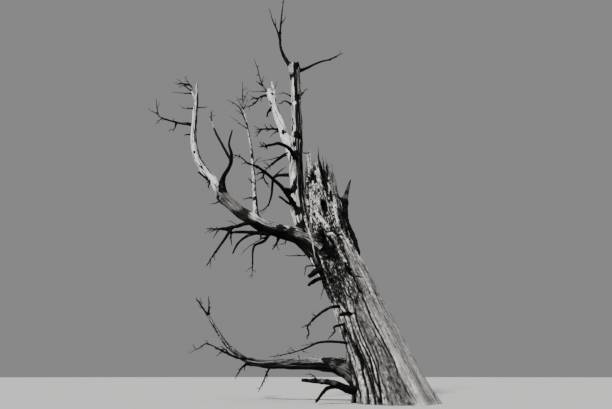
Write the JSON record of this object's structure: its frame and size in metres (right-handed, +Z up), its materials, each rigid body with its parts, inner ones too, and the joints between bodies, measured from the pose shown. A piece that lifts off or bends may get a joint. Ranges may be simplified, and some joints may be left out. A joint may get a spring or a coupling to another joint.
{
  "type": "dead tree",
  "caption": "Dead leaning tree with a thick broken hollow-topped trunk, bare snapped boughs and leafless twigs, cut flat at ground level.",
  "frame": {"origin": "middle of the flat cut under the trunk, at ground level", "axes": "+Z up, the trunk leans towards -X, and -Y faces the side that is looked at"},
  "size_m": [7.1591, 3.4173, 12.6515],
  "materials": {
    "trunk_wood": "weathered, part rough bark and part bare split wood",
    "pale_wood": "bare, bleached and cracked along the grain",
    "dark_wood": "rough and blackened",
    "twigs": "matte"
  },
  "bodies": {
    "root": {"trunk": "trunk_wood", "main_stem": "pale_wood", "left_bough": "pale_wood", "left_leader": "pale_wood", "top_left_bough": "dark_wood", "top_right_bough": "dark_wood", "broken_limb": "pale_wood", "pale_stem": "pale_wood", "hook_bough": "dark_wood", "hook_fork": "dark_wood", "hanging_bough": "dark_wood", "hanging_lower": "dark_wood", "hanging_fork": "dark_wood", "hanging_middle": "dark_wood", "hanging_back": "dark_wood", "diagonal_bough": "dark_wood", "level_bough": "dark_wood", "upper_bough": "dark_wood", "crossing_bough": "dark_wood", "horn": "dark_wood", "knob": "dark_wood", "trunk_branch": "dark_wood", "long_branch": "dark_wood", "low_bough": "pale_wood", "low_rise": "pale_wood", "low_stub": "dark_wood", "back_bough": "pale_wood", "back_stub": "dark_wood", "leader_top_twigs": "twigs", "leader_side_twigs": "twigs", "top_left_twigs": "twigs", "top_fork_twigs": "twigs", "top_right_twigs": "twigs", "broken_limb_high_twigs": "twigs", "broken_limb_side_twigs": "twigs", "broken_limb_low_twigs": "twigs", "pale_stem_twigs": "twigs", "pale_stem_side_twigs": "twigs", "hook_twigs": "twigs", "hanging_twigs": "twigs", "hanging_fork_twigs": "twigs", "hanging_back_twigs": "twigs", "diagonal_twigs": "twigs", "diagonal_side_twigs": "twigs", "level_twigs": "twigs", "upper_twigs": "twigs", "crossing_twigs": "twigs", "trunk_branch_twigs": "twigs", "long_branch_twigs": "twigs", "low_rise_twigs": "twigs", "low_tip_twigs": "twigs", "low_under_twigs": "twigs", "back_twigs": "twigs"}
  },
  "joints": []
}
